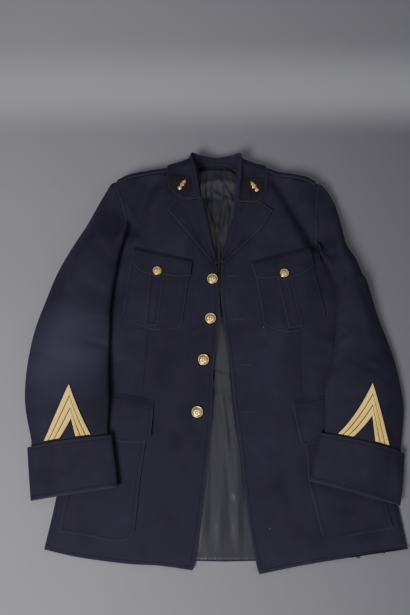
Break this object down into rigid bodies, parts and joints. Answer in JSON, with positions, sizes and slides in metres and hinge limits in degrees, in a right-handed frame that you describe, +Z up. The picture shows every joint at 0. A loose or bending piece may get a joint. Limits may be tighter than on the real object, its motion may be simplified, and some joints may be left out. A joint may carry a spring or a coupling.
{
  "type": "firefighter dress uniform jacket",
  "caption": "Navy wool dress uniform jacket laid open on its back, with notched lapels, patch pockets, turned-back cuffs, gilt buttons and gold braid chevrons on the sleeves.",
  "frame": {"origin": "centre of the jacket's bounding box, on the surface it lies on", "axes": "+X to the viewer's right, +Y from hem to collar, +Z up from the surface"},
  "size_m": [0.6813, 0.7901, 0.0557],
  "materials": {
    "navy_wool": "dark navy twill wool, matt with a faint nap",
    "grey_satin": "dark grey satin lining, softly shiny, puckered",
    "black_velvet": "near-black pile patch",
    "gold_braid": "woven metallic gold braid",
    "gilt_brass": "polished gilt brass"
  },
  "bodies": {
    "root": {"back": "navy_wool", "collar": "navy_wool", "front_left": "navy_wool", "front_right": "navy_wool", "lapel_left": "navy_wool", "lapel_right": "navy_wool", "shoulder_strap_left": "navy_wool", "shoulder_strap_right": "navy_wool", "breast_pocket_left": "navy_wool", "breast_pocket_right": "navy_wool", "breast_pleat_left": "navy_wool", "breast_pleat_right": "navy_wool", "breast_flap_left": "navy_wool", "breast_flap_right": "navy_wool", "hip_pocket_left": "navy_wool", "hip_pocket_right": "navy_wool", "hip_flap_left": "navy_wool", "hip_flap_right": "navy_wool", "sleeve_left": "navy_wool", "sleeve_right": "navy_wool", "cuff_left": "navy_wool", "cuff_right": "navy_wool", "back_lining": "grey_satin", "collar_patch_left": "black_velvet", "collar_patch_right": "black_velvet", "chevron_left_1": "gold_braid", "chevron_left_2": "gold_braid", "chevron_left_3": "gold_braid", "chevron_right_1": "gold_braid", "chevron_right_2": "gold_braid", "chevron_right_3": "gold_braid", "collar_sprig_left": "gilt_brass", "collar_sprig_right": "gilt_brass", "front_button_1": "gilt_brass", "front_button_2": "gilt_brass", "front_button_3": "gilt_brass", "front_button_4": "gilt_brass", "flap_button_left": "gilt_brass", "flap_button_right": "gilt_brass"}
  },
  "joints": []
}
